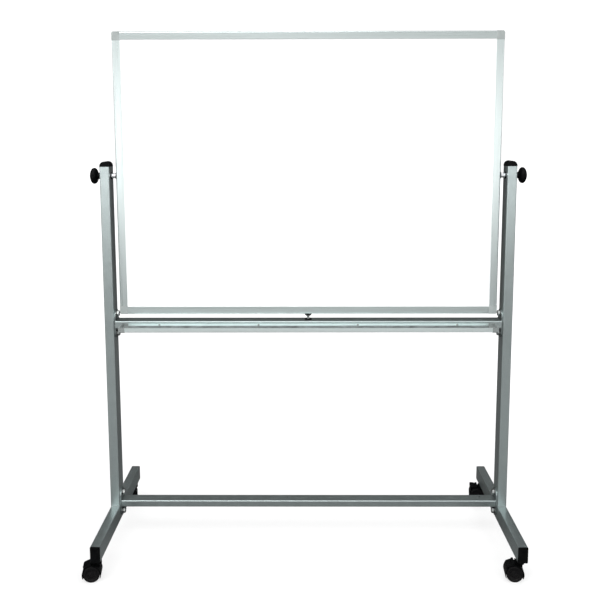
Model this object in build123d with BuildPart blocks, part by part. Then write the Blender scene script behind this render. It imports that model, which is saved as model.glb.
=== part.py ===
from build123d import *
import os
from math import acos, asin, cos, degrees, radians, sin

# A reversible whiteboard on a rolling H-frame stand.
# X runs to the viewer's right, -Y faces the viewer and Z is up. The origin is on the floor, under the middle
# of the object. All lengths are in millimetres.
# For a side or an end, -1 is left or front and 1 is right or rear.

# Tubes
tube_wall = 1.5
tube_corner = 3.0
plug_clearance = 0.2
plug_wall = 2.5
plug_depth = 20.0

# Feet
foot_width = 30.0
foot_height = 50.0
foot_bottom = 67.0
foot_length = 600.0
foot_cap_thickness = 4.0
foot_cap_bevel = 1.5
bevel_angle = 30.0
thread_chamfer = 1.0
foot_cap_mark_length = 16.0
foot_cap_mark_height = 6.0
foot_cap_mark_rise = 13.0
foot_cap_mark_depth = 0.8
foot_top = foot_bottom + foot_height
foot_tube_length = foot_length - 2 * foot_cap_thickness
foot_centre_height = foot_bottom + foot_height / 2

# Posts
post_width = 30.0
post_depth = 60.0
post_top = 1243.0
post_centre = 642.0
post_cap_band = 1.5
post_cap_edge = 1.0
post_inner_face = post_centre - post_width / 2
post_outer_face = post_centre + post_width / 2

# Board
board_width = 1220.0
board_height = 895.0
board_bottom = 766.0
board_thickness = 20.0
frame_face = 24.0
frame_wall = 2.0
frame_lip = 1.6
frame_corner = 4.0
frame_groove_width = 1.0
frame_groove_depth = 0.5
frame_groove_place = 7.0
corner_cap_height = 27.0
corner_cap_radius = 6.0
corner_cap_proud = 0.3
corner_tongue_length = 15.0
corner_tongue_clearance = 0.2
core_inset = 14.0
core_thickness = 15.4
sheet_thickness = 0.6
slot_clearance = 0.5
board_top = board_bottom + board_height
pivot_height = board_bottom + board_height / 2
slot_half_depth = board_thickness / 2 - frame_lip
core_width = board_width - 2 * core_inset
core_height = board_height - 2 * core_inset

# Board pivots
stud_radius = 4.95
stud_bore_radius = 5.0
stud_thread_in_knob = 18.0
knob_bore_depth = 19.0
anchor_length = 40.0
anchor_width = 15.0
anchor_thickness = 8.0
washer_radius = 11.0
washer_thickness = 1.5
spacer_radius = 8.0
pivot_gap = 0.3

# Clamp knobs
knob_hub_radius = 10.0
knob_length = 36.7
knob_radius = 25.5
knob_half_thickness = 13.7
knob_rim_edge = 9.0
knob_flutes = 8
knob_flute_radius = 9.0
knob_flute_centre = 33.3
knob_middle = knob_length - knob_half_thickness
knob_inner = post_outer_face + pivot_gap

# Crossbars and their bolted flanges
lower_bar_depth = 46.0
lower_bar_height = 22.0
lower_bar_top = 134.0
drain_hole_radius = 3.5
drain_hole_x = 575.0
drain_hole_y = 8.0
rail_depth = 55.0
rail_height = 24.0
rail_top = 746.0
flange_thickness = 4.0
flange_width = 50.0
flange_height = 94.0
bolt_offset = 32.5
bolt_radius = 4.9
bolt_hole_radius = 5.3
bolt_head_flats = 17.0
bolt_head_height = 6.4
bolt_head_chamfer = 0.9
bolt_length = 19.0
bolt_washer_radius = 10.0
bolt_washer_thickness = 2.0
nut_bore_radius = 5.0
nut_height = 8.0
bar_length = 2 * (post_inner_face - flange_thickness)
lower_bar_centre = lower_bar_top - lower_bar_height / 2
rail_centre = rail_top - rail_height / 2

# Marker tray
tray_top = 738.0
tray_height = 14.6
tray_depth = 61.0
tray_wall = 1.5
tray_back_radius = 7.0
tray_front_radius = 2.5
tray_end = 600.0
tray_cap_length = 19.0
tray_cap_end_wall = 2.5
tray_cap_skin = 1.2
tray_cap_gap = 0.1
least_radius = 0.3
tray_screw_places = (-480.0, -160.0, 160.0, 480.0)
tray_screw_height = 734.2
tray_screw_radius = 1.85
tray_screw_head_radius = 3.4
tray_screw_head_height = 2.2
tray_screw_length = 12.0
tray_screw_hole_radius = 1.95

# Board stop
stop_screw_radius = 4.0
stop_bore_radius = 4.05
stop_gap = 1.2
stop_pad_radius = 11.0
stop_pad_thickness = 3.0
stop_pad_edge = 0.8
stop_pin_radius = 3.0
stop_pin_bore_radius = 3.05
stop_pin_length = 1.7
stop_head_radius = 9.5
stop_head_height = 5.0
stop_head_edge = 1.0
stop_screw_bottom = 731.0
bush_radius = 7.0
bush_hole_radius = 7.1
bush_flange_radius = 12.0
bush_flange_thickness = 2.5
bush_flange_edge = 0.8
bush_length = 12.0
stop_pad_top = board_bottom - stop_gap
stop_pad_bottom = stop_pad_top - stop_pad_thickness
stop_head_top = stop_pad_bottom - pivot_gap

# Casters
caster_place = 268.0
caster_trail = 18.0
wheel_radius = 25.0
wheel_width = 17.0
wheel_gap = 14.0
wheel_edge = 3.0
wheel_dish_radius = 18.0
wheel_dish_depth = 2.5
wheel_hub_radius = 7.0
wheel_hub_edge = 1.0
wheel_bore_depth = 15.0
axle_radius = 3.0
axle_bore_radius = 3.05
axle_length = 42.0
web_thickness = 13.0
web_radius = 20.0
web_into_boss = 1.0
guard_radius = 28.5
guard_thickness = 2.0
guard_width = 48.0
front_guard_start = 98.0
front_guard_end = 206.0
rear_guard_start = -25.0
rear_guard_end = 38.0
shoulder_radius = 25.5
boss_radius = 12.0
boss_bottom = 51.0
boss_top = 63.5
boss_edge = 1.5
neck_width = 13.0
stem_pin_radius = 4.0
stem_pin_bore_radius = 4.06
stem_pin_bottom = 34.0
stem_pin_bore_bottom = 33.0
stem_flange_radius = 10.0
stem_flange_bottom = 64.0
stem_thread_radius = 4.9
stem_hole_radius = 5.1
stem_thread_length = 22.0
lever_pivot_place = 22.0
lever_pivot_height = 54.0
lever_pin_radius = 2.0
lever_pin_inset = 2.0
lever_bore_radius = 2.06
lever_ear_radius = 4.0
lever_thickness = 3.5
lever_reach = 23.0
lever_width = 40.0
lever_corner = 8.0
lever_edge = 1.0
lever_slot_width = 14.0
lever_slot_reach = 6.0
lever_up_angle = 5.0
lever_travel = 26.0
rib_count = 4
rib_pitch = 3.0
rib_width = 1.2
rib_height = 0.7
rib_start = 11.5
rib_length = 32.0

# Each caster: its side, its end, the direction in which its wheels trail, and whether its brake is pressed.
casters = {
    "front_left": (-1, -1, 188.0, True),
    "front_right": (1, -1, 174.0, True),
    "rear_left": (-1, 1, 192.0, False),
    "rear_right": (1, 1, 170.0, False),
}

sides = {"left": -1, "right": 1}


def save(piece, name):
    """Labels a finished piece and writes it out."""
    piece.part.label = name
    export_step(piece.part, f"parts/{name}.step")


def tube_outline(width, height):
    """Draws a tube's rounded section, with its hollow middle, in the current sketch."""
    RectangleRounded(width, height, tube_corner)
    inner_corner = tube_corner - tube_wall
    RectangleRounded(width - 2 * tube_wall, height - 2 * tube_wall, inner_corner, mode=Mode.SUBTRACT)


def plug_outline(width, height):
    """Draws the hollow section of a plug that fits inside a tube of this size."""
    outer_width = width - 2 * tube_wall - 2 * plug_clearance
    outer_height = height - 2 * tube_wall - 2 * plug_clearance
    RectangleRounded(outer_width, outer_height, tube_corner - tube_wall)
    Rectangle(outer_width - 2 * plug_wall, outer_height - 2 * plug_wall, mode=Mode.SUBTRACT)


# Stand


def make_post(side):
    with BuildPart() as post:
        with BuildSketch(Plane.XY.offset(foot_top)):
            with Locations((side * post_centre, 0)):
                tube_outline(post_width, post_depth)
        extrude(amount=post_top - foot_top)
        with BuildSketch(Plane.YZ.offset(side * post_centre)):
            with Locations((0, pivot_height)):
                Circle(stud_bore_radius)
        extrude(amount=post_width, both=True, mode=Mode.SUBTRACT)
        bolt_heights = (
            lower_bar_centre + bolt_offset,
            rail_centre - bolt_offset,
            rail_centre + bolt_offset,
        )
        with BuildSketch(Plane.YZ.offset(side * post_inner_face)):
            with Locations([(0, height) for height in bolt_heights]):
                Circle(bolt_hole_radius)
        extrude(amount=2 * tube_wall, both=True, mode=Mode.SUBTRACT)
    return post


def make_post_cap(side):
    half_width = post_width / 2
    centre = side * post_centre
    band_top = post_top + post_cap_band
    with BuildPart() as cap:
        with BuildSketch(Plane.XZ.offset(-post_depth / 2)):
            with BuildLine():
                Line((centre - half_width, post_top), (centre + half_width, post_top))
                Line((centre + half_width, post_top), (centre + half_width, band_top))
                CenterArc((centre, band_top), half_width, 0, 180)
                Line((centre - half_width, band_top), (centre - half_width, post_top))
            make_face()
        extrude(amount=post_depth)
        fillet(cap.edges().filter_by(GeomType.CIRCLE), post_cap_edge)
        with BuildSketch(Plane.XY.offset(post_top)):
            with Locations((centre, 0)):
                plug_outline(post_width, post_depth)
        extrude(amount=-plug_depth)
    return cap


def make_foot(side):
    with BuildPart() as foot:
        with BuildSketch(Plane.XZ.offset(-foot_tube_length / 2)):
            with Locations((side * post_centre, foot_centre_height)):
                tube_outline(foot_width, foot_height)
        extrude(amount=foot_tube_length)
        with BuildSketch(Plane.XY.offset(foot_bottom)):
            with Locations((side * post_centre, -caster_place), (side * post_centre, caster_place)):
                Circle(stem_hole_radius)
        extrude(amount=2 * tube_wall, both=True, mode=Mode.SUBTRACT)
        with BuildSketch(Plane.YZ.offset(side * post_inner_face)):
            with Locations((0, lower_bar_centre - bolt_offset)):
                Circle(bolt_hole_radius)
        extrude(amount=2 * tube_wall, both=True, mode=Mode.SUBTRACT)
    return foot


def foot_end_plane(side, end):
    """The plane of a foot tube's end, facing out of the tube, with its own Y axis upwards."""
    origin = (side * post_centre, end * foot_tube_length / 2, foot_centre_height)
    return Plane(origin=origin, x_dir=(-end, 0, 0), z_dir=(0, end, 0))


def make_foot_end_caps():
    straight = foot_cap_thickness - foot_cap_bevel
    with BuildPart() as caps:
        for side in (-1, 1):
            for end in (-1, 1):
                tube_end = foot_end_plane(side, end)
                with BuildSketch(tube_end):
                    RectangleRounded(foot_width, foot_height, tube_corner)
                extrude(amount=straight)
                with BuildSketch(tube_end.offset(straight)):
                    RectangleRounded(foot_width, foot_height, tube_corner)
                extrude(amount=foot_cap_bevel, taper=bevel_angle)
                with BuildSketch(tube_end.offset(foot_cap_thickness)):
                    with Locations((0, foot_cap_mark_rise)):
                        SlotOverall(foot_cap_mark_length, foot_cap_mark_height)
                extrude(amount=-foot_cap_mark_depth, mode=Mode.SUBTRACT)
                with BuildSketch(tube_end):
                    plug_outline(foot_width, foot_height)
                extrude(amount=-plug_depth)
    return caps


def make_lower_crossbar():
    with BuildPart() as bar:
        with BuildSketch(Plane.YZ.offset(-bar_length / 2)):
            with Locations((0, lower_bar_centre)):
                tube_outline(lower_bar_depth, lower_bar_height)
        extrude(amount=bar_length)
        with BuildSketch(Plane.XY.offset(lower_bar_top)):
            with Locations((drain_hole_x, drain_hole_y)):
                Circle(drain_hole_radius)
        extrude(amount=2 * tube_wall, both=True, mode=Mode.SUBTRACT)
    return bar


def make_upper_rail():
    with BuildPart() as rail:
        with BuildSketch(Plane.YZ.offset(-bar_length / 2)):
            with Locations((0, rail_centre)):
                tube_outline(rail_depth, rail_height)
        extrude(amount=bar_length)
        with BuildSketch(Plane.XY.offset(rail_top)):
            Circle(bush_hole_radius)
        extrude(amount=2 * tube_wall, both=True, mode=Mode.SUBTRACT)
        with BuildSketch(Plane.XZ.offset(rail_depth / 2)):
            with Locations([(place, tray_screw_height) for place in tray_screw_places]):
                Circle(tray_screw_hole_radius)
        extrude(amount=2 * tube_wall, both=True, mode=Mode.SUBTRACT)
    return rail


def make_flange(side, height):
    with BuildPart() as flange:
        with BuildSketch(Plane.YZ.offset(side * post_inner_face)):
            with Locations((0, height)):
                SlotOverall(flange_height, flange_width, rotation=90)
            with Locations((0, height - bolt_offset), (0, height + bolt_offset)):
                Circle(bolt_hole_radius, mode=Mode.SUBTRACT)
        extrude(amount=-side * flange_thickness)
    return flange


def bolt_planes(distance):
    """Planes across each flange bolt's axis, facing into the post, this far outwards from the post's face."""
    planes = []
    for side in (-1, 1):
        for centre in (lower_bar_centre, rail_centre):
            for offset in (-bolt_offset, bolt_offset):
                origin = (side * (post_inner_face + distance), 0, centre + offset)
                planes.append(Plane(origin=origin, x_dir=(0, side, 0), z_dir=(side, 0, 0)))
    return planes


def make_flange_bolts():
    head_base = -flange_thickness - bolt_washer_thickness
    with BuildPart() as bolts:
        for plane in bolt_planes(head_base):
            with BuildSketch(plane):
                RegularPolygon(bolt_head_flats / 2, 6, major_radius=False)
            extrude(amount=-(bolt_head_height - bolt_head_chamfer))
            with BuildSketch(plane.offset(-(bolt_head_height - bolt_head_chamfer))):
                Circle(bolt_head_flats / 2)
            extrude(amount=-bolt_head_chamfer, taper=bevel_angle)
            with BuildSketch(plane):
                Circle(bolt_radius)
            extrude(amount=bolt_length)
    return bolts


def make_flange_washers():
    with BuildPart() as washers:
        for plane in bolt_planes(-flange_thickness):
            with BuildSketch(plane):
                Circle(bolt_washer_radius)
                Circle(bolt_hole_radius, mode=Mode.SUBTRACT)
            extrude(amount=-bolt_washer_thickness)
    return washers


def make_weld_nuts():
    with BuildPart() as nuts:
        for plane in bolt_planes(tube_wall):
            with BuildSketch(plane):
                RegularPolygon(bolt_head_flats / 2, 6, major_radius=False)
                Circle(nut_bore_radius, mode=Mode.SUBTRACT)
            extrude(amount=nut_height)
    return nuts


# Marker tray


def trough_region(inset, top, mode=Mode.ADD):
    """Adds the area inside the tray's outer surface, moved in by inset and cut off level at top."""
    back = -rail_depth / 2 - inset
    front = -rail_depth / 2 - tray_depth + inset
    bottom = tray_top - tray_height + inset
    radii = [max(tray_back_radius - inset, least_radius), max(tray_front_radius - inset, least_radius)]
    with BuildLine(mode=Mode.PRIVATE) as outline:
        side_and_floor = FilletPolyline(
            (back, top),
            (back, bottom),
            (front, bottom),
            (front, top),
            radius=radii,
        )
        Line(side_and_floor @ 1, side_and_floor @ 0)
    make_face(outline.edges(), mode=mode)


def make_marker_tray():
    tray_length = 2 * (tray_end - tray_cap_end_wall - tray_cap_gap)
    with BuildPart() as tray:
        with BuildSketch(Plane.YZ.offset(-tray_length / 2)):
            trough_region(0, tray_top)
            trough_region(tray_wall, tray_top, mode=Mode.SUBTRACT)
        extrude(amount=tray_length)
        with BuildSketch(Plane.XZ.offset(rail_depth / 2)):
            with Locations([(place, tray_screw_height) for place in tray_screw_places]):
                Circle(tray_screw_hole_radius)
        extrude(amount=2 * tray_wall, mode=Mode.SUBTRACT)
    return tray


def clear_of_rail():
    """Cuts the current sketch back to what is in front of the rail."""
    reach = 2 * tray_depth
    with Locations((-rail_depth / 2 - tray_cap_gap - reach / 2, tray_top)):
        Rectangle(reach, reach, mode=Mode.INTERSECT)


def make_tray_end_cap(side):
    rim = tray_top + tray_cap_skin
    wall_face = tray_end - tray_cap_end_wall
    with BuildPart() as cap:
        with BuildSketch(Plane.YZ.offset(side * tray_end)):
            trough_region(-tray_cap_skin, rim)
            clear_of_rail()
        extrude(amount=-side * tray_cap_length)
        with BuildSketch(Plane.YZ.offset(side * wall_face)):
            trough_region(tray_wall + tray_cap_skin, rim)
        extrude(amount=-side * tray_cap_length, mode=Mode.SUBTRACT)
        with BuildSketch(Plane.YZ.offset(side * wall_face)):
            trough_region(-tray_cap_gap, tray_top + tray_cap_gap)
            trough_region(tray_wall + tray_cap_gap, tray_top + tray_cap_gap, mode=Mode.SUBTRACT)
        extrude(amount=-side * tray_cap_length, mode=Mode.SUBTRACT)
    return cap


def make_tray_screws():
    head_base = rail_depth / 2 + tray_wall
    with BuildPart() as screws:
        with BuildSketch(Plane.XZ.offset(head_base)):
            with Locations([(place, tray_screw_height) for place in tray_screw_places]):
                Circle(tray_screw_head_radius)
        extrude(amount=tray_screw_head_height)
        fillet(screws.faces().group_by(Axis.Y)[0].edges(), tray_screw_head_height / 2)
        with BuildSketch(Plane.XZ.offset(head_base)):
            with Locations([(place, tray_screw_height) for place in tray_screw_places]):
                Circle(tray_screw_radius)
        extrude(amount=-tray_screw_length)
    return screws


# Board stop


def make_stop_bush():
    with BuildPart() as bush:
        with BuildSketch(Plane.XY.offset(rail_top)):
            Circle(bush_flange_radius)
        extrude(amount=bush_flange_thickness)
        chamfer(bush.edges().group_by(Axis.Z)[-1], bush_flange_edge)
        with BuildSketch(Plane.XY.offset(rail_top)):
            Circle(bush_radius)
        extrude(amount=-bush_length)
        with BuildSketch(Plane.XY.offset(rail_top - bush_length)):
            Circle(stop_bore_radius)
        extrude(amount=bush_length + bush_flange_thickness, mode=Mode.SUBTRACT)
    return bush


def make_stop_screw():
    with BuildPart() as screw:
        with BuildSketch(Plane.XZ):
            with BuildLine():
                Polyline(
                    (0, stop_screw_bottom),
                    (stop_screw_radius - thread_chamfer, stop_screw_bottom),
                    (stop_screw_radius, stop_screw_bottom + thread_chamfer),
                    (stop_screw_radius, stop_head_top - stop_head_height),
                    (stop_head_radius, stop_head_top - stop_head_edge),
                    (stop_head_radius, stop_head_top),
                    (stop_pin_radius, stop_head_top),
                    (stop_pin_radius, stop_head_top + stop_pin_length),
                    (0, stop_head_top + stop_pin_length),
                    close=True,
                )
            make_face()
        revolve(axis=Axis.Z)
    return screw


def make_stop_pad():
    with BuildPart() as pad:
        with BuildSketch(Plane.XY.offset(stop_pad_bottom)):
            Circle(stop_pad_radius)
        extrude(amount=stop_pad_thickness)
        fillet(pad.edges().filter_by(GeomType.CIRCLE), stop_pad_edge)
        with BuildSketch(Plane.XY.offset(stop_pad_bottom)):
            Circle(stop_pin_bore_radius)
        extrude(amount=stop_pin_length, mode=Mode.SUBTRACT)
    return pad


# Board


def make_board_core():
    with BuildPart() as core:
        with BuildSketch(Plane.XZ.offset(-core_thickness / 2)):
            with Locations((0, pivot_height)):
                Rectangle(core_width, core_height)
        extrude(amount=core_thickness)
    return core


def make_writing_surface(facing):
    """facing is -1 for the front sheet and 1 for the back one."""
    with BuildPart() as sheet:
        with BuildSketch(Plane.XZ.offset(-facing * core_thickness / 2)):
            with Locations((0, pivot_height)):
                Rectangle(core_width, core_height)
        extrude(amount=-facing * sheet_thickness)
    return sheet


def frame_outline():
    """Draws a frame extrusion's section: X is the depth from the board's edge inwards, Y its thickness."""
    with BuildSketch(mode=Mode.PRIVATE) as section:
        with Locations((frame_face / 2, 0)):
            Rectangle(frame_face, board_thickness)
        fillet(section.vertices().group_by(Axis.X)[0], frame_corner)
        with Locations((frame_wall + frame_face / 2, 0)):
            Rectangle(frame_face, 2 * slot_half_depth, mode=Mode.SUBTRACT)
        with Locations((frame_groove_place, -board_thickness / 2), (frame_groove_place, board_thickness / 2)):
            Rectangle(frame_groove_width, 2 * frame_groove_depth, mode=Mode.SUBTRACT)
    return section.sketch


def make_side_frame(side):
    start = Plane(
        origin=(side * board_width / 2, 0, board_bottom + corner_cap_height),
        x_dir=(-side, 0, 0),
        z_dir=(0, 0, 1),
    )
    section = frame_outline()
    with BuildPart() as frame:
        with BuildSketch(start):
            add(section)
        extrude(amount=board_height - 2 * corner_cap_height)
        with BuildSketch(Plane.YZ.offset(side * board_width / 2)):
            with Locations((0, pivot_height)):
                Circle(stud_bore_radius)
        extrude(amount=2 * frame_wall, both=True, mode=Mode.SUBTRACT)
    return frame


def make_level_frame(height, inwards):
    """height is the board edge's own height. inwards is 1 where the board is above it and -1 where below."""
    start = Plane(
        origin=(-board_width / 2 + frame_face, 0, height),
        x_dir=(0, 0, inwards),
        z_dir=(1, 0, 0),
    )
    section = frame_outline()
    with BuildPart() as frame:
        with BuildSketch(start):
            add(section)
        extrude(amount=board_width - 2 * frame_face)
    return frame


def make_corner_caps():
    half_depth = board_thickness / 2 + corner_cap_proud
    tongue_depth = 2 * (slot_half_depth - corner_tongue_clearance)
    tongue_width = core_inset - frame_wall - 2 * corner_tongue_clearance
    tongue_middle = frame_wall + corner_tongue_clearance + tongue_width / 2
    slot_edge = core_inset - slot_clearance
    with BuildPart() as caps:
        for side in (-1, 1):
            for level in (-1, 1):
                corner_x = side * (board_width / 2 + corner_cap_proud)
                corner_z = pivot_height + level * (board_height / 2 + corner_cap_proud)
                body_width = frame_face + corner_cap_proud
                body_height = corner_cap_height + corner_cap_proud
                middle = Plane(
                    origin=(corner_x, 0, corner_z),
                    x_dir=(-side, 0, 0),
                    z_dir=(0, -side * level, 0),
                )
                with BuildSketch(middle):
                    with BuildLine():
                        FilletPolyline(
                            (body_width, body_height),
                            (0, body_height),
                            (0, 0),
                            (body_width, 0),
                            radius=[least_radius, corner_cap_radius],
                        )
                        Line((body_width, 0), (body_width, body_height))
                    make_face()
                extrude(amount=half_depth, both=True)
                board_corner = (side * board_width / 2, 0, pivot_height + level * board_height / 2)
                inside = Plane(origin=board_corner, x_dir=(-side, 0, 0), z_dir=(0, -side * level, 0))
                with BuildSketch(inside):
                    with Locations((slot_edge, slot_edge)):
                        Rectangle(frame_face, corner_cap_height, align=(Align.MIN, Align.MIN))
                extrude(amount=slot_half_depth, both=True, mode=Mode.SUBTRACT)
                with BuildSketch(inside):
                    with Locations((frame_face, tongue_middle)):
                        Rectangle(2 * corner_tongue_length, tongue_width - slot_clearance)
                    with Locations((tongue_middle, corner_cap_height)):
                        Rectangle(tongue_width - slot_clearance, 2 * corner_tongue_length)
                extrude(amount=tongue_depth / 2, both=True)
    return caps


# Board pivots


def pivot_plane(side, distance):
    """A plane across the pivot axis, facing away from the board, this far from the middle of the object."""
    return Plane(origin=(side * distance, 0, pivot_height), x_dir=(0, side, 0), z_dir=(side, 0, 0))


def make_pivot_stud(side):
    start = board_width / 2 - frame_wall - anchor_thickness
    end = knob_inner + stud_thread_in_knob
    with BuildPart() as stud:
        with BuildSketch(pivot_plane(side, start)):
            Circle(stud_radius)
        extrude(amount=end - start)
        chamfer(stud.edges().filter_by(GeomType.CIRCLE), thread_chamfer)
    return stud


def make_pivot_anchors():
    face = board_width / 2 - frame_wall
    with BuildPart() as anchors:
        for side in (-1, 1):
            with BuildSketch(pivot_plane(side, face)):
                Rectangle(anchor_width, anchor_length)
                Circle(stud_bore_radius, mode=Mode.SUBTRACT)
            extrude(amount=-anchor_thickness)
    return anchors


def make_pivot_washers():
    starts = (board_width / 2, post_inner_face - pivot_gap - washer_thickness)
    with BuildPart() as washers:
        for side in (-1, 1):
            for start in starts:
                with BuildSketch(pivot_plane(side, start)):
                    Circle(washer_radius)
                    Circle(stud_bore_radius, mode=Mode.SUBTRACT)
                extrude(amount=washer_thickness)
    return washers


def make_pivot_spacer(side):
    start = board_width / 2 + washer_thickness
    end = post_inner_face - pivot_gap - washer_thickness
    with BuildPart() as spacer:
        with BuildSketch(pivot_plane(side, start)):
            Circle(spacer_radius)
        extrude(amount=end - start)
        chamfer(spacer.edges().filter_by(GeomType.CIRCLE), least_radius)
        with BuildSketch(pivot_plane(side, start)):
            Circle(stud_bore_radius)
        extrude(amount=end - start, mode=Mode.SUBTRACT)
    return spacer


def make_knob(side):
    hub = pivot_plane(side, knob_inner)
    spread = knob_radius**2 + knob_half_thickness**2 - 2 * knob_radius * knob_rim_edge
    dome_radius = spread / (2 * (knob_half_thickness - knob_rim_edge))
    dome_offset = dome_radius - knob_half_thickness
    tip_angle = degrees(acos(dome_offset / dome_radius))
    hub_angle = degrees(asin(knob_hub_radius / dome_radius))
    with BuildPart() as knob:
        with BuildSketch(Plane(origin=hub.origin, x_dir=hub.z_dir, z_dir=(0, -1, 0))) as profile:
            with BuildLine():
                front = CenterArc((knob_middle - dome_offset, 0), dome_radius, 0, tip_angle)
                back_centre = (knob_middle + dome_offset, 0)
                back = CenterArc(back_centre, dome_radius, 180 - tip_angle, tip_angle - hub_angle)
                Polyline(back @ 1, (0, knob_hub_radius), (0, 0), front @ 0)
            make_face()
            fillet(profile.vertices().sort_by_distance(front @ 1)[0], knob_rim_edge)
        revolve(axis=Axis(hub.origin, hub.z_dir))
        with BuildSketch(hub):
            with PolarLocations(knob_flute_centre, knob_flutes):
                Circle(knob_flute_radius)
        extrude(amount=knob_length, mode=Mode.SUBTRACT)
        with BuildSketch(hub):
            Circle(stud_bore_radius)
        extrude(amount=knob_bore_depth, mode=Mode.SUBTRACT)
    return knob


# Casters


def caster_centre(side, end):
    """Where a caster's swivel axis meets the floor."""
    return (side * post_centre, end * caster_place)


def caster_side_plane(side, end, direction):
    """An upright plane along a caster's rolling direction. X is the trail from the swivel axis, Y is up."""
    trail = (cos(radians(direction)), sin(radians(direction)))
    axle = (-trail[1], trail[0])
    x, y = caster_centre(side, end)
    return Plane(origin=(x, y, 0), x_dir=(trail[0], trail[1], 0), z_dir=(-axle[0], -axle[1], 0))


def make_caster_stem(side, end):
    x, y = caster_centre(side, end)
    with BuildPart() as stem:
        with BuildSketch(Plane.XY.offset(stem_pin_bottom)):
            with Locations((x, y)):
                Circle(stem_pin_radius)
        extrude(amount=foot_bottom - stem_pin_bottom)
        with BuildSketch(Plane.XY.offset(stem_flange_bottom)):
            with Locations((x, y)):
                RegularPolygon(stem_flange_radius, 6)
        extrude(amount=foot_bottom - stem_flange_bottom)
        with BuildSketch(Plane.XY.offset(foot_bottom)):
            with Locations((x, y)):
                Circle(stem_thread_radius)
        extrude(amount=stem_thread_length)
        chamfer(stem.edges().group_by(Axis.Z)[-1], thread_chamfer)
        chamfer(stem.edges().group_by(Axis.Z)[0], thread_chamfer)
    return stem


def hood_sector(radius, start, end):
    """Adds a sector about the axle to the current sketch, between these angles."""
    axle_place = (caster_trail, wheel_radius)
    with BuildLine(mode=Mode.PRIVATE) as outline:
        rim = CenterArc(axle_place, radius, start, end - start)
        Line(rim @ 1, axle_place)
        Line(axle_place, rim @ 0)
    make_face(outline.edges())


def make_caster_hood(side, end, direction):
    middle = caster_side_plane(side, end, direction)
    x, y = caster_centre(side, end)
    axle_place = (caster_trail, wheel_radius)
    web_top = boss_bottom + web_into_boss
    with BuildPart() as hood:
        with BuildSketch(middle):
            with Locations(axle_place):
                Circle(web_radius)
            hood_sector(guard_radius, front_guard_start, front_guard_end)
            hood_sector(guard_radius, rear_guard_start, rear_guard_end)
            hood_sector(shoulder_radius, rear_guard_end, front_guard_start)
            with Locations((0, wheel_radius)):
                Rectangle(neck_width, web_top - wheel_radius, align=(Align.CENTER, Align.MIN))
            with BuildLine():
                Polyline(
                    (0, web_top),
                    (0, wheel_radius),
                    (caster_trail, wheel_radius),
                    (lever_pivot_place + lever_ear_radius, wheel_radius),
                    (lever_pivot_place + lever_ear_radius, lever_pivot_height),
                    (lever_pivot_place, lever_pivot_height),
                    close=True,
                )
            make_face()
            with Locations((lever_pivot_place, lever_pivot_height)):
                Circle(lever_ear_radius)
        extrude(amount=web_thickness / 2, both=True)
        for start, finish in ((front_guard_start, front_guard_end), (rear_guard_start, rear_guard_end)):
            with BuildSketch(middle):
                hood_sector(guard_radius, start, finish)
                with Locations(axle_place):
                    Circle(guard_radius - guard_thickness, mode=Mode.SUBTRACT)
            extrude(amount=guard_width / 2, both=True)
        with BuildSketch(Plane.XY.offset(boss_bottom)):
            with Locations((x, y)):
                Circle(boss_radius)
        extrude(amount=boss_top - boss_bottom)
        chamfer(hood.edges().group_by(Axis.Z)[-1], boss_edge)
        with BuildSketch(Plane.XY.offset(stem_pin_bore_bottom)):
            with Locations((x, y)):
                Circle(stem_pin_bore_radius)
        extrude(amount=boss_top - stem_pin_bore_bottom, mode=Mode.SUBTRACT)
        with BuildSketch(middle):
            with Locations(axle_place):
                Circle(axle_radius)
            with Locations((lever_pivot_place, lever_pivot_height)):
                Circle(lever_bore_radius)
        extrude(amount=web_thickness, both=True, mode=Mode.SUBTRACT)
    return hood


def make_caster_axle(side, end, direction):
    with BuildPart() as axle:
        with BuildSketch(caster_side_plane(side, end, direction)):
            with Locations((caster_trail, wheel_radius)):
                Circle(axle_radius)
        extrude(amount=axle_length / 2, both=True)
    return axle


def make_caster_wheels(side, end, direction):
    inner = wheel_gap / 2
    outer = inner + wheel_width
    with BuildPart() as wheels:
        for face in (-1, 1):
            middle = caster_side_plane(side, end, direction)
            centre = middle.from_local_coords((caster_trail, wheel_radius, 0))
            axle_line = middle.z_dir * face
            across = Plane(origin=centre, x_dir=axle_line, z_dir=axle_line.cross(Vector(0, 0, 1)))
            with BuildSketch(across):
                with BuildLine():
                    tread = FilletPolyline(
                        (inner, axle_bore_radius),
                        (inner, wheel_radius),
                        (outer, wheel_radius),
                        (outer, wheel_dish_radius),
                        radius=[wheel_edge, wheel_edge],
                    )
                    Polyline(
                        tread @ 1,
                        (outer - wheel_dish_depth, wheel_dish_radius - wheel_dish_depth),
                        (outer - wheel_dish_depth, wheel_hub_radius),
                        (outer - wheel_hub_edge, wheel_hub_radius - wheel_hub_edge),
                        (outer - wheel_hub_edge, 0),
                        (inner + wheel_bore_depth, 0),
                        (inner + wheel_bore_depth, axle_bore_radius),
                        tread @ 0,
                    )
                make_face()
            revolve(axis=Axis(centre, axle_line))
    return wheels


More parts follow.
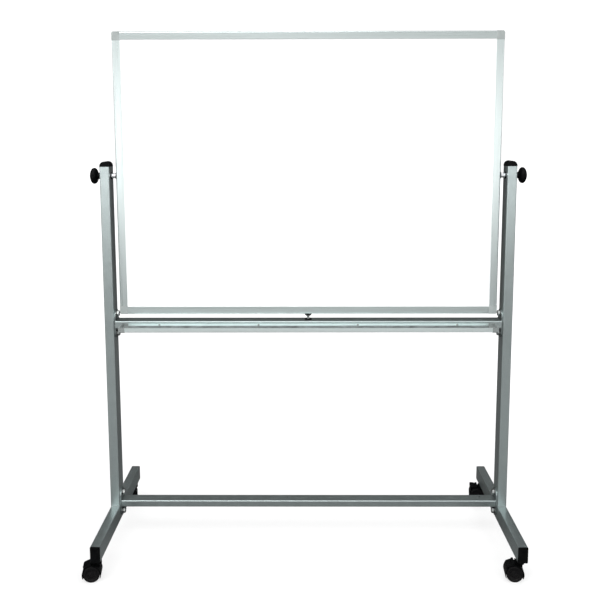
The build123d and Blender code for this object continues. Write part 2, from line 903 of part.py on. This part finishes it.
def make_brake_lever(side, end, direction, pressed):
    middle = caster_side_plane(side, end, direction)
    angle = lever_up_angle - (lever_travel if pressed else 0)
    along = (cos(radians(angle)), sin(radians(angle)))
    pivot = middle.from_local_coords((lever_pivot_place, lever_pivot_height, 0))
    reach = middle.x_dir * along[0] + Vector(0, 0, along[1])
    tongue = Plane(origin=pivot, x_dir=reach, z_dir=middle.z_dir)
    top = Plane(origin=pivot, x_dir=reach, z_dir=reach.cross(middle.z_dir) * -1)
    with BuildPart() as lever:
        with BuildSketch(tongue):
            Circle(lever_ear_radius)
            Rectangle(lever_reach, lever_thickness, align=(Align.MIN, Align.CENTER))
        extrude(amount=lever_width / 2, both=True)
        fillet(lever.faces().sort_by(Axis(pivot, reach))[-1].edges().sort_by(SortBy.LENGTH)[:2], lever_corner)
        outline = lever.faces().sort_by(Axis(pivot, top.z_dir))[-1].edges()
        beyond_ear = outline.filter_by(lambda edge: (edge.center() - pivot).dot(reach) > lever_ear_radius)
        fillet(beyond_ear, lever_edge)
        with BuildSketch(tongue):
            with Locations((lever_slot_reach, 0)):
                Rectangle(2 * lever_width, lever_width, align=(Align.MAX, Align.CENTER))
        extrude(amount=lever_slot_width / 2, both=True, mode=Mode.SUBTRACT)
        with BuildSketch(tongue):
            Circle(lever_pin_radius)
        extrude(amount=lever_width / 2 - lever_pin_inset, both=True)
        with BuildSketch(top.offset(lever_thickness / 2 - lever_edge / 2)):
            for rib in range(rib_count):
                with Locations((rib_start + rib * rib_pitch, 0)):
                    Rectangle(rib_width, rib_length)
        extrude(amount=rib_height + lever_edge / 2)
    return lever


os.makedirs("parts", exist_ok=True)

for word, side in sides.items():
    save(make_post(side), f"{word}_post")
    save(make_post_cap(side), f"{word}_post_cap")
    save(make_foot(side), f"{word}_foot")
    save(make_flange(side, lower_bar_centre), f"lower_{word}_flange")
    save(make_flange(side, rail_centre), f"upper_{word}_flange")
    save(make_tray_end_cap(side), f"{word}_tray_end_cap")
    save(make_side_frame(side), f"{word}_frame")
    save(make_pivot_stud(side), f"{word}_pivot_stud")
    save(make_pivot_spacer(side), f"{word}_pivot_spacer")
    save(make_knob(side), f"{word}_knob")

save(make_foot_end_caps(), "foot_end_caps")
save(make_lower_crossbar(), "lower_crossbar")
save(make_upper_rail(), "upper_rail")
save(make_flange_bolts(), "flange_bolts")
save(make_flange_washers(), "flange_washers")
save(make_weld_nuts(), "weld_nuts")
save(make_marker_tray(), "marker_tray")
save(make_tray_screws(), "tray_screws")
save(make_stop_bush(), "stop_bush")
save(make_stop_screw(), "stop_screw")
save(make_stop_pad(), "stop_pad")
save(make_board_core(), "board_core")
save(make_writing_surface(-1), "front_writing_surface")
save(make_writing_surface(1), "back_writing_surface")
save(make_level_frame(board_bottom, 1), "bottom_frame")
save(make_level_frame(board_top, -1), "top_frame")
save(make_corner_caps(), "corner_caps")
save(make_pivot_anchors(), "pivot_anchors")
save(make_pivot_washers(), "pivot_washers")

for corner, (side, end, direction, pressed) in casters.items():
    save(make_caster_stem(side, end), f"{corner}_stem")
    save(make_caster_hood(side, end, direction), f"{corner}_hood")
    save(make_caster_axle(side, end, direction), f"{corner}_axle")
    save(make_caster_wheels(side, end, direction), f"{corner}_wheels")
    save(make_brake_lever(side, end, direction, pressed), f"{corner}_brake_lever")
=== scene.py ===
from math import cos, pi, radians, sin

import bmesh
import bpy
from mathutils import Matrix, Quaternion, Vector


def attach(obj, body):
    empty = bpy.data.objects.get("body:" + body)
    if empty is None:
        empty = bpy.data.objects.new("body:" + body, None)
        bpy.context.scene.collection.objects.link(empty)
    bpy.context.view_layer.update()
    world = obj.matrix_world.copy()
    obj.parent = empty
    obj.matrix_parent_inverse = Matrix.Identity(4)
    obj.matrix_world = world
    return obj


# The looks of a rolling whiteboard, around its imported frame. Lengths are in metres: X runs to the viewer's
# right, -Y faces the viewer, Z is up and the origin is on the floor under the middle of the object.

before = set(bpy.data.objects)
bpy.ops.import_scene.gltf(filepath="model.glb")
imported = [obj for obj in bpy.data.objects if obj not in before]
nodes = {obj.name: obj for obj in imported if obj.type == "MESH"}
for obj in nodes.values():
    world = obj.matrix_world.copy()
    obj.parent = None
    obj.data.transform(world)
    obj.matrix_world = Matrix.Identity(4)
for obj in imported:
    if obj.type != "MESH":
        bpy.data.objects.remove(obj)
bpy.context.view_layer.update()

SIDES = (-1, 1)
MM = 0.001
X_AXIS = 0
Z_AXIS = 2


# ---------------------------------------------------------------- Shader helpers


def material_shader(name):
    """A new material with its node tree and its Principled shader."""
    material = bpy.data.materials.new(name)
    material.use_nodes = True
    tree = material.node_tree
    return material, tree, tree.nodes["Principled BSDF"]


def object_space(tree, stretch=(1, 1, 1)):
    """The piece's own coordinates in metres, each multiplied by its part of stretch."""
    source = tree.nodes.new("ShaderNodeTexCoord")
    mapping = tree.nodes.new("ShaderNodeMapping")
    mapping.inputs["Scale"].default_value = stretch
    tree.links.new(source.outputs["Object"], mapping.inputs["Vector"])
    return mapping.outputs["Vector"]


def own_axes(tree):
    """The sockets X, Y and Z of the piece's own coordinates, in metres."""
    split = tree.nodes.new("ShaderNodeSeparateXYZ")
    tree.links.new(object_space(tree), split.inputs["Vector"])
    return split.outputs


def noise(tree, grain, stretch=(1, 1, 1), detail=2.0, distortion=0.0):
    """Soft noise with lumps about one grain across; a small stretch makes them long along that axis."""
    texture = tree.nodes.new("ShaderNodeTexNoise")
    texture.inputs["Scale"].default_value = 1 / grain
    texture.inputs["Detail"].default_value = detail
    texture.inputs["Distortion"].default_value = distortion
    tree.links.new(object_space(tree, stretch), texture.inputs["Vector"])
    return texture.outputs["Fac"]


def cells(tree, grain):
    """A random grey for each cell about one grain across."""
    texture = tree.nodes.new("ShaderNodeTexVoronoi")
    texture.inputs["Scale"].default_value = 1 / grain
    tree.links.new(object_space(tree), texture.inputs["Vector"])
    split = tree.nodes.new("ShaderNodeSeparateColor")
    tree.links.new(texture.outputs["Color"], split.inputs["Color"])
    return split.outputs["Red"]


def remap(tree, value, low, high, start=0.3, end=0.7):
    """value from start to end becomes low to high, and no further."""
    node = tree.nodes.new("ShaderNodeMapRange")
    node.inputs["From Min"].default_value = start
    node.inputs["From Max"].default_value = end
    node.inputs["To Min"].default_value = low
    node.inputs["To Max"].default_value = high
    tree.links.new(value, node.inputs["Value"])
    return node.outputs["Result"]


def combine(tree, operation, first, second=0):
    """A math node on a socket and, where the operation takes two, another socket or a number."""
    node = tree.nodes.new("ShaderNodeMath")
    node.operation = operation
    for socket, value in zip(node.inputs, (first, second)):
        if isinstance(value, (int, float)):
            socket.default_value = value
        else:
            tree.links.new(value, socket)
    return node.outputs["Value"]


# A Mix node's sockets for colours: those before them are for numbers and vectors.
MIX_FIRST_COLOUR = 6
MIX_SECOND_COLOUR = 7
MIX_COLOUR_RESULT = 2


def tint(tree, factor, first, second):
    """Two colours mixed by factor. Each is a colour or a socket."""
    node = tree.nodes.new("ShaderNodeMix")
    node.data_type = "RGBA"
    tree.links.new(factor, node.inputs["Factor"])
    for index, colour in ((MIX_FIRST_COLOUR, first), (MIX_SECOND_COLOUR, second)):
        if isinstance(colour, tuple):
            node.inputs[index].default_value = (*colour, 1)
        else:
            tree.links.new(colour, node.inputs[index])
    return node.outputs[MIX_COLOUR_RESULT]


def bump(tree, shader, *layers):
    """Bumps of the shader's normal: (height socket, depth in metres) for each layer."""
    normal = None
    for height, depth in layers:
        node = tree.nodes.new("ShaderNodeBump")
        node.inputs["Distance"].default_value = depth
        tree.links.new(height, node.inputs["Height"])
        if normal is not None:
            tree.links.new(normal, node.inputs["Normal"])
        normal = node.outputs["Normal"]
    tree.links.new(normal, shader.inputs["Normal"])


def toned(greys, tone):
    """The same greys, each scaled by tone."""
    return [tuple(tone * part for part in grey) for grey in greys]


# ---------------------------------------------------------------- Materials

# Colours are linear. Three greys are a material's dark, light and mean, and two are its dark and light.
PAINT_GREYS = ((0.345, 0.395, 0.395), (0.49, 0.555, 0.55), (0.375, 0.43, 0.43))
SCUFF_GREY = (0.22, 0.24, 0.24)
SCUFFED_ZONE = (0.06, 0.32)
METAL_SHARE = 0.9
# How much rougher a fully scuffed place, or the tray's corner under its painted shade, is.
DULLING = 0.3


def painted_steel(name, tone=1.0):
    """Silver-grey powder coat: fine bright flakes, orange peel, and faint scuffs low down."""
    material, tree, shader = material_shader(name)
    dark, light, mean = toned(PAINT_GREYS, tone)
    flakes = cells(tree, 0.35 * MM)
    mottle = noise(tree, 45 * MM, detail=3)
    paint = tint(tree, remap(tree, flakes, 0, 1, start=0.1, end=0.9), dark, light)
    paint = tint(tree, remap(tree, mottle, 0, 0.22), paint, mean)
    low_down = remap(tree, own_axes(tree)["Z"], 1, 0, *SCUFFED_ZONE)
    scratches = noise(tree, 2.2 * MM, stretch=(1, 0.12, 0.5), detail=4, distortion=0.6)
    scuffs = combine(tree, "MULTIPLY", remap(tree, scratches, 0, 0.5, start=0.62, end=0.74), low_down)
    paint = tint(tree, scuffs, paint, SCUFF_GREY)
    tree.links.new(paint, shader.inputs["Base Color"])
    shader.inputs["Metallic"].default_value = METAL_SHARE
    polish = remap(tree, noise(tree, 18 * MM, detail=3), 0.29, 0.37)
    roughness = combine(tree, "ADD", polish, combine(tree, "MULTIPLY", scuffs, DULLING))
    tree.links.new(roughness, shader.inputs["Roughness"])
    orange_peel = noise(tree, 2.4 * MM, detail=1)
    bump(tree, shader, (orange_peel, 0.02 * MM), (flakes, 0.004 * MM))
    return material


ALUMINIUM_GREYS = ((0.545, 0.605, 0.60), (0.64, 0.705, 0.70), (0.585, 0.65, 0.645))
DIE_LINE_STRETCH = 0.004


def anodised_aluminium(name, along, tone=1.0):
    """Satin anodised extrusion with die lines that run along it. tone scales how much light it returns."""
    material, tree, shader = material_shader(name)
    stretch = tuple(DIE_LINE_STRETCH if axis == along else 1 for axis in range(3))
    lines = noise(tree, 0.5 * MM, stretch=stretch, detail=3)
    broad_lines = noise(tree, 3 * MM, stretch=stretch, detail=2)
    clouds = noise(tree, 60 * MM, detail=3)
    dark, light, mean = toned(ALUMINIUM_GREYS, tone)
    metal = tint(tree, remap(tree, lines, 0, 1), dark, light)
    metal = tint(tree, remap(tree, clouds, 0, 0.3), metal, mean)
    tree.links.new(metal, shader.inputs["Base Color"])
    shader.inputs["Metallic"].default_value = METAL_SHARE
    tree.links.new(remap(tree, broad_lines, 0.27, 0.37), shader.inputs["Roughness"])
    bump(tree, shader, (lines, 0.006 * MM), (broad_lines, 0.01 * MM))
    return material


# The heights over which the painted shade in the tray's corner thins out upwards, the places over which it
# thins out towards the front, and its grey.
SHADE_TOP = (0.7300, 0.7325)
SHADE_FRONT = (-0.046, -0.036)
SHADE_GREY = (0.08, 0.09, 0.092)


def lit_tray_with_shaded_corner():
    """The tray's extrusion, a brighter copy of the aluminium as painted light, with painted shade in the
    corner under the board, which is rougher there too.
    """
    # A brighter copy of the aluminium, as painted light.
    material = anodised_aluminium("lit_anodised_tray", X_AXIS, tone=1.35)
    tree = material.node_tree
    shader = tree.nodes["Principled BSDF"]
    unshaded = shader.inputs["Base Color"].links[0].from_socket
    satin = shader.inputs["Roughness"].links[0].from_socket
    place = own_axes(tree)
    low = remap(tree, place["Z"], 1, 0, *SHADE_TOP)
    near_board = remap(tree, place["Y"], 0, 1, *SHADE_FRONT)
    corner = combine(tree, "MULTIPLY", low, near_board)
    shade_blotches = noise(tree, 8 * MM, stretch=(0.25, 1, 1), detail=5, distortion=0.8)
    # Painted shade in the corner under the board, in blotches; the same mask makes it rougher.
    dust_and_shade = combine(tree, "MULTIPLY", corner, remap(tree, shade_blotches, 0.78, 0.97))
    tree.links.new(tint(tree, dust_and_shade, unshaded, SHADE_GREY), shader.inputs["Base Color"])
    roughness = combine(tree, "ADD", satin, combine(tree, "MULTIPLY", dust_and_shade, DULLING))
    tree.links.new(roughness, shader.inputs["Roughness"])
    return material


ENAMEL_WHITE = (0.93, 0.935, 0.94)
GHOST_WHITE = (0.905, 0.915, 0.92)


def white_enamel():
    """Glossy white enamelled steel with faint wipe marks and old marker ghosts."""
    material, tree, shader = material_shader("white_enamel")
    wipes = noise(tree, 55 * MM, stretch=(0.35, 1, 1), detail=5, distortion=1.2)
    ghosts = noise(tree, 160 * MM, stretch=(0.6, 1, 1), detail=4)
    enamel = tint(tree, remap(tree, ghosts, 0, 1, start=0.35, end=0.75), ENAMEL_WHITE, GHOST_WHITE)
    tree.links.new(enamel, shader.inputs["Base Color"])
    tree.links.new(remap(tree, wipes, 0.1, 0.2), shader.inputs["Roughness"])
    shader.inputs["Coat Weight"].default_value = 0.4
    shader.inputs["Coat Roughness"].default_value = 0.06
    bump(tree, shader, (noise(tree, 9 * MM, detail=1), 0.012 * MM))
    return material


PLASTIC_SHINE = 0.05


def moulded_plastic(name, dark, light, roughness):
    """Moulded plastic with a fine spark-eroded grain and slightly uneven colour and gloss."""
    material, tree, shader = material_shader(name)
    texture = noise(tree, 0.45 * MM, detail=3)
    clouds = noise(tree, 14 * MM, detail=3)
    colour = tint(tree, remap(tree, clouds, 0, 1), dark, light)
    colour = tint(tree, remap(tree, texture, 0, 0.35), colour, light)
    tree.links.new(colour, shader.inputs["Base Color"])
    shader.inputs["Specular IOR Level"].default_value = PLASTIC_SHINE
    tree.links.new(remap(tree, clouds, roughness - 0.05, roughness + 0.06), shader.inputs["Roughness"])
    bump(tree, shader, (texture, 0.03 * MM))
    return material


def plated_steel(name, dark, light, roughness, grain):
    """Plated steel whose tone wanders a little, with turning marks about one grain apart."""
    material, tree, shader = material_shader(name)
    clouds = noise(tree, 4 * MM, detail=3)
    fine = noise(tree, grain, detail=2)
    metal = tint(tree, remap(tree, clouds, 0, 1), dark, light)
    tree.links.new(metal, shader.inputs["Base Color"])
    shader.inputs["Metallic"].default_value = 1
    tree.links.new(remap(tree, fine, roughness - 0.06, roughness + 0.08), shader.inputs["Roughness"])
    bump(tree, shader, (fine, 0.006 * MM))
    return material


TREAD_BLACK = (0.005, 0.005, 0.0055)
TREAD_DUST = (0.045, 0.043, 0.041)


def worn_tread():
    """Grey-black polyurethane tyre, dusty where it rolls."""
    material, tree, shader = material_shader("caster_tread")
    dust_and_shade = noise(tree, 3 * MM, detail=5)
    fine = noise(tree, 0.5 * MM, detail=3)
    near_floor = remap(tree, own_axes(tree)["Z"], 0.5, 0.1, start=0, end=0.05)
    cover = combine(tree, "MULTIPLY", remap(tree, dust_and_shade, 0, 1, start=0.45, end=0.7), near_floor)
    rubber = tint(tree, cover, TREAD_BLACK, TREAD_DUST)
    tree.links.new(rubber, shader.inputs["Base Color"])
    shader.inputs["Specular IOR Level"].default_value = PLASTIC_SHINE
    tree.links.new(remap(tree, dust_and_shade, 0.38, 0.6), shader.inputs["Roughness"])
    bump(tree, shader, (fine, 0.03 * MM))
    return material


FIBRE_DARK = (0.20, 0.13, 0.075)
FIBRE_LIGHT = (0.42, 0.30, 0.19)


def fibre_board():
    """Pressed brown fibre, as on a board's core."""
    material, tree, shader = material_shader("fibre_core")
    fibres = noise(tree, 1.2 * MM, stretch=(0.3, 1, 1), detail=5, distortion=1)
    tree.links.new(tint(tree, fibres, FIBRE_DARK, FIBRE_LIGHT), shader.inputs["Base Color"])
    shader.inputs["Roughness"].default_value = 0.9
    bump(tree, shader, (fibres, 0.15 * MM))
    return material


PLASTIC_BLACKS = ((0.0015, 0.0017, 0.0019), (0.004, 0.0043, 0.0046))
NYLON_BLACKS = ((0.0015, 0.0017, 0.0019), (0.004, 0.0042, 0.0045))
RUBBER_BLACKS = ((0.008, 0.008, 0.008), (0.014, 0.014, 0.014))
PLASTIC_GREYS = ((0.30, 0.33, 0.325), (0.38, 0.41, 0.405))
# The tray's end caps are the same grey plastic, painted darker as painted shade.
SHADED_TRAY_CAP_GREYS = ((0.19, 0.21, 0.207), (0.25, 0.27, 0.267))
ZINC_GREYS = ((0.30, 0.315, 0.315), (0.46, 0.47, 0.46))
# The flange washers are the same zinc plate as the bolts, painted darker as painted shade.
SHADED_ZINC_GREYS = ((0.10, 0.105, 0.105), (0.19, 0.195, 0.19))
CHROME_GREYS = ((0.72, 0.73, 0.75), (0.82, 0.83, 0.85))

# One material for each slot in the record.
MATERIALS = {
    "painted_steel": painted_steel("silver_powder_coat"),
    "black_plastic": moulded_plastic("black_plastic", *PLASTIC_BLACKS, roughness=0.40),
    "anodised_aluminium": anodised_aluminium("anodised_level", X_AXIS),
    "grey_plastic": moulded_plastic("grey_plastic", *PLASTIC_GREYS, roughness=0.45),
    "zinc_steel": plated_steel("zinc_steel", *ZINC_GREYS, roughness=0.38, grain=0.4 * MM),
    "chrome_steel": plated_steel("chrome_steel", *CHROME_GREYS, roughness=0.14, grain=0.3 * MM),
    "white_enamel": white_enamel(),
    "fibre_core": fibre_board(),
    "black_rubber": moulded_plastic("black_rubber", *RUBBER_BLACKS, roughness=0.7),
    "caster_nylon": moulded_plastic("caster_nylon", *NYLON_BLACKS, roughness=0.36),
    "caster_tread": worn_tread(),
}


def node_slot(name):
    """The record's material slot of a CAD node."""
    return nodes[name].material_slots[0].material.name.split(".")[0]


UPRIGHT_METAL = anodised_aluminium("anodised_upright", Z_AXIS)
# A darker copy of the powder coat, as painted shade: the flanges and weld beads are the same paint as the
# posts.
SHADED_PAINT = painted_steel("shaded_powder_coat", tone=0.6)
SHADED_TRAY_CAP_PLASTIC = moulded_plastic("shaded_tray_cap_plastic", *SHADED_TRAY_CAP_GREYS, roughness=0.45)

# Pieces that look different from the rest of their slot.
SPECIAL = {
    "left_frame": UPRIGHT_METAL,
    "right_frame": UPRIGHT_METAL,
    # The top frame takes a darker copy of the aluminium, as painted shade.
    "top_frame": anodised_aluminium("shaded_anodised_top", X_AXIS, tone=0.82),
    # The tray is painted brighter as painted light, with painted shade in its corner.
    "marker_tray": lit_tray_with_shaded_corner(),
    # The tray's end caps take the darker copy of the grey plastic, as painted shade.
    "left_tray_end_cap": SHADED_TRAY_CAP_PLASTIC,
    "right_tray_end_cap": SHADED_TRAY_CAP_PLASTIC,
    # The flanges take the darker copy of the paint, as painted shade.
    "upper_left_flange": SHADED_PAINT,
    "upper_right_flange": SHADED_PAINT,
    "lower_left_flange": SHADED_PAINT,
    "lower_right_flange": SHADED_PAINT,
    # The washers take the darker copy of the zinc, as painted shade.
    "flange_washers": plated_steel("shaded_zinc", *SHADED_ZINC_GREYS, roughness=0.42, grain=0.4 * MM),
}


def finish_cad_nodes():
    """Gives every CAD node the material of its slot, or its own where it is special."""
    for name, node in nodes.items():
        material = SPECIAL.get(name, MATERIALS[node_slot(name)])
        for slot in node.material_slots:
            slot.material = material


finish_cad_nodes()


# ---------------------------------------------------------------- Weld beads

POST_CENTRE = 0.642
POST_HALF_WIDTH = 0.015
POST_HALF_DEPTH = 0.030
FOOT_TOP = 0.117
FLANGE_FACE = 0.623
FLANGE_HALF_WIDTH = 0.025
BAR_MIDDLE = 0.123
BAR_HALF_DEPTH = 0.023
BAR_HALF_HEIGHT = 0.011
RAIL_MIDDLE = 0.734
RAIL_HALF_HEIGHT = 0.012
TUBE_CORNER = 0.003
BEAD_RADIUS = 0.0019
BEAD_INSET = 0.8 * BEAD_RADIUS
RIPPLE_PITCH = 0.0011
RIPPLE_HIGH = 0.09
RIPPLE_LOW = -0.05
WANDER = 0.07
WANDER_RATES = (0.7, 0.23)
RING_SIDES = 8
CORNER_STEPS = 6
# A bead whose direction has at least this much of X starts its rings from another axis.
MOSTLY_X = 0.9


def spread(start, end):
    """Places about half a ripple apart on the straight line from start to end, without the end."""
    steps = max(2, round((end - start).length / (RIPPLE_PITCH / 2)))
    return [start.lerp(end, step / steps) for step in range(steps)]


def bead_radius(index):
    """A bead's radius at one ring: high and low in turn, with a slow wander along the bead."""
    step = RIPPLE_HIGH if index % 2 else RIPPLE_LOW
    quick, slow = WANDER_RATES
    return BEAD_RADIUS * (1 + step + WANDER * sin(quick * index) * sin(slow * index + 1))


def bead(mesh, path, closed):
    """Adds a rippled bead of weld along path, flat-ended where the path is open."""
    rings = []
    count = len(path)
    for index, place in enumerate(path):
        before = path[index - 1] if closed or index else place
        after = path[(index + 1) % count] if closed or index + 1 < count else place
        along = (after - before).normalized()
        first = along.orthogonal().normalized() if abs(along.x) >= MOSTLY_X else Vector((1, 0, 0))
        second = along.cross(first)
        radius = bead_radius(index)
        ring = []
        for side in range(RING_SIDES):
            angle = 2 * pi * side / RING_SIDES
            around = first * cos(angle) + second * sin(angle)
            ring.append(mesh.verts.new(place + around * radius))
        rings.append(ring)
    joined = zip(rings, rings[1:] + rings[:1]) if closed else zip(rings, rings[1:])
    for ring, following in joined:
        for side in range(RING_SIDES):
            after = (side + 1) % RING_SIDES
            mesh.faces.new((ring[side], ring[after], following[after], following[side]))
    if not closed:
        mesh.faces.new(rings[0])
        mesh.faces.new(rings[-1][::-1])


def straight_bead(mesh, middle, reach):
    """Adds a bead from middle - reach to middle + reach."""
    start = middle - reach
    finish = middle + reach
    bead(mesh, spread(start, finish) + [finish], closed=False)


def bar_outline(x):
    """A closed path round the lower crossbar's rounded section, on a flange's face."""
    across = BAR_HALF_DEPTH - TUBE_CORNER
    up = BAR_HALF_HEIGHT - TUBE_CORNER
    turns = []
    for y, z, start in ((across, up, 0), (-across, up, 90), (-across, -up, 180), (across, -up, 270)):
        middle = Vector((x, y, BAR_MIDDLE + z))
        turn = []
        for step in range(CORNER_STEPS + 1):
            angle = radians(start + 90 * step / CORNER_STEPS)
            turn.append(middle + Vector((0, cos(angle), sin(angle))) * TUBE_CORNER)
        turns.append(turn)
    path = []
    for turn, following in zip(turns, turns[1:] + turns[:1]):
        path += turn[:-1] + spread(turn[-1], following[0])
    return path


def add_weld_beads():
    """Beads at the posts' feet, over and under the rail's ends, and round the lower crossbar's ends."""
    mesh = bmesh.new()
    for side in SIDES:
        for end in (-1, 1):
            foot = Vector((side * POST_CENTRE, end * POST_HALF_DEPTH, FOOT_TOP))
            straight_bead(mesh, foot, Vector((POST_HALF_WIDTH - BEAD_INSET, 0, 0)))
            rail = Vector((side * FLANGE_FACE, 0, RAIL_MIDDLE + end * RAIL_HALF_HEIGHT))
            straight_bead(mesh, rail, Vector((0, FLANGE_HALF_WIDTH - BEAD_INSET, 0)))
        bead(mesh, bar_outline(side * FLANGE_FACE), closed=True)
    bmesh.ops.recalc_face_normals(mesh, faces=mesh.faces)
    for face in mesh.faces:
        face.smooth = True
    data = bpy.data.meshes.new("weld_beads")
    mesh.to_mesh(data)
    mesh.free()
    beads = bpy.data.objects.new("weld_beads", data)
    # The beads take the darker copy of the paint, as painted shade.
    data.materials.append(SHADED_PAINT)
    bpy.context.scene.collection.objects.link(beads)
    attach(beads, "stand")


add_weld_beads()


# ---------------------------------------------------------------- Camera, floor and light


def show_to_camera(tree, shown, otherwise, output):
    """The output's surface is one shader where the camera looks at it, and another for every other ray."""
    seen = tree.nodes.new("ShaderNodeLightPath")
    choose = tree.nodes.new("ShaderNodeMixShader")
    tree.links.new(seen.outputs["Is Camera Ray"], choose.inputs["Fac"])
    tree.links.new(otherwise, choose.inputs[1])
    tree.links.new(shown, choose.inputs[2])
    tree.links.new(choose.outputs["Shader"], output.inputs["Surface"])


CAMERA_PLACE = (-0.01025, -2.57911, 1.34870)
CAMERA_PITCH = radians(7.56)
CAMERA_YAW = radians(-0.35)
CAMERA_ROLL = radians(-0.12)
CAMERA_SENSOR = 36
CAMERA_LENS = 48.551
CAMERA_SHIFT = -0.10


def add_camera():
    """The camera at the photograph's viewing angle."""
    data = bpy.data.cameras.new("camera")
    data.sensor_width = CAMERA_SENSOR
    data.lens = CAMERA_LENS
    data.shift_y = CAMERA_SHIFT
    camera = bpy.data.objects.new("camera", data)
    ahead = Vector(
        (
            sin(CAMERA_YAW) * cos(CAMERA_PITCH),
            cos(CAMERA_YAW) * cos(CAMERA_PITCH),
            -sin(CAMERA_PITCH),
        )
    )
    camera.location = CAMERA_PLACE
    camera.rotation_mode = "QUATERNION"
    camera.rotation_quaternion = ahead.to_track_quat("-Z", "Y") @ Quaternion((0, 0, 1), CAMERA_ROLL)
    bpy.context.scene.collection.objects.link(camera)
    bpy.context.scene.camera = camera


FLOOR_REACH = 30
FLOOR_GREY = (0.3, 0.3, 0.3)
# The floor's glow rises from the first value to the second between these distances from the middle.
FLOOR_GLOW = (0.67, 1.0)
FLOOR_GLOW_ZONE = (0.7, 7)
# The light it bounces falls from the first value to the second, from front to back.
FLOOR_BOUNCE = (0.28, 0.08)
FLOOR_BOUNCE_ZONE = (-0.7, 0.1)


def add_floor():
    """A pale floor that runs out into the white background. It bounces less light than it shows."""
    mesh = bpy.data.meshes.new("floor")
    reach = FLOOR_REACH
    corners = [(-reach, -reach, 0), (reach, -reach, 0), (reach, reach, 0), (-reach, reach, 0)]
    mesh.from_pydata(corners, [], [(0, 1, 2, 3)])
    floor = bpy.data.objects.new("floor", mesh)
    bpy.context.scene.collection.objects.link(floor)
    material, tree, shader = material_shader("pale_floor")
    shader.inputs["Roughness"].default_value = 0.7
    shader.inputs["Specular IOR Level"].default_value = 0.2
    shader.inputs["Base Color"].default_value = (*FLOOR_GREY, 1)
    away = tree.nodes.new("ShaderNodeVectorMath")
    away.operation = "LENGTH"
    tree.links.new(object_space(tree), away.inputs["Vector"])
    glow = tree.nodes.new("ShaderNodeEmission")
    strength = remap(tree, away.outputs["Value"], *FLOOR_GLOW, *FLOOR_GLOW_ZONE)
    tree.links.new(strength, glow.inputs["Strength"])
    shown = tree.nodes.new("ShaderNodeAddShader")
    tree.links.new(shader.outputs["BSDF"], shown.inputs[0])
    tree.links.new(glow.outputs["Emission"], shown.inputs[1])
    bounced = tree.nodes.new("ShaderNodeBsdfDiffuse")
    bounce = remap(tree, own_axes(tree)["Y"], *FLOOR_BOUNCE, *FLOOR_BOUNCE_ZONE)
    tree.links.new(bounce, bounced.inputs["Color"])
    output = tree.nodes["Material Output"]
    show_to_camera(tree, shown.outputs["Shader"], bounced.outputs["BSDF"], output)
    mesh.materials.append(material)


WHITE = (1, 1, 1, 1)
BACKDROP = 1.1
# Each part of the studio goes from its first value in brightness to its second while the ray's X, Y or Z goes
# from the third to the fourth.
FRONT_HALF = (1, 0, -0.5, 0.3)
HIGH_FRONT = (0.5, 2.1, 0.5, 0.85)
WIDE_FRONT = (0, 2.4, 0.45, 0.75)
BEHIND = (0.32, 0.045, 0.4, 0.84)
HIGH_BEHIND = (0, 0.7, 0.65, 0.98)


def add_world():
    """White behind the object, and around it a studio that is bright in front and dim behind and above."""
    world = bpy.data.worlds.new("studio")
    bpy.context.scene.world = world
    world.use_nodes = True
    tree = world.node_tree
    studio = tree.nodes["Background"]
    backdrop = tree.nodes.new("ShaderNodeBackground")
    backdrop.inputs["Color"].default_value = WHITE
    backdrop.inputs["Strength"].default_value = BACKDROP
    direction = tree.nodes.new("ShaderNodeTexCoord")
    split = tree.nodes.new("ShaderNodeSeparateXYZ")
    tree.links.new(direction.outputs["Generated"], split.inputs["Vector"])
    ahead = remap(tree, split.outputs["Y"], *FRONT_HALF)
    high_front = remap(tree, split.outputs["Z"], *HIGH_FRONT)
    wide_front = remap(tree, combine(tree, "ABSOLUTE", split.outputs["X"]), *WIDE_FRONT)
    behind = remap(tree, split.outputs["Y"], *BEHIND)
    high_behind = remap(tree, split.outputs["Z"], *HIGH_BEHIND)
    front = combine(tree, "MULTIPLY", ahead, combine(tree, "MAXIMUM", high_front, wide_front))
    back = combine(tree, "ADD", behind, high_behind)
    tree.links.new(combine(tree, "MAXIMUM", front, back), studio.inputs["Strength"])
    studio.inputs["Color"].default_value = WHITE
    output = tree.nodes["World Output"]
    show_to_camera(tree, backdrop.outputs["Background"], studio.outputs["Background"], output)


def add_softbox(name, place, target, width, height, power, mirrored=True):
    """An area light of this many watts that faces target. Shiny pieces show it only if it is mirrored."""
    data = bpy.data.lights.new(name, "AREA")
    data.shape = "RECTANGLE"
    data.size = width
    data.size_y = height
    data.energy = power
    light = bpy.data.objects.new(name, data)
    light.location = place
    light.rotation_mode = "QUATERNION"
    light.rotation_quaternion = (Vector(target) - Vector(place)).to_track_quat("-Z", "Y")
    light.visible_camera = False
    light.visible_glossy = mirrored
    bpy.context.scene.collection.objects.link(light)


add_camera()
add_floor()
add_world()
add_softbox("front_softbox", (-0.2, -3.0, 1.25), (0, 0, 1.25), width=4.0, height=0.9, power=24)
add_softbox("upper_softbox", (-0.8, -2.6, 3.6), (0, 0, 1.0), width=2.4, height=1.4, power=60)
add_softbox("rear_softbox", (0.9, 3.2, 2.3), (0, 0, 1.1), width=2.6, height=1.8, power=95, mirrored=False)

bpy.context.scene.view_settings.view_transform = "Standard"
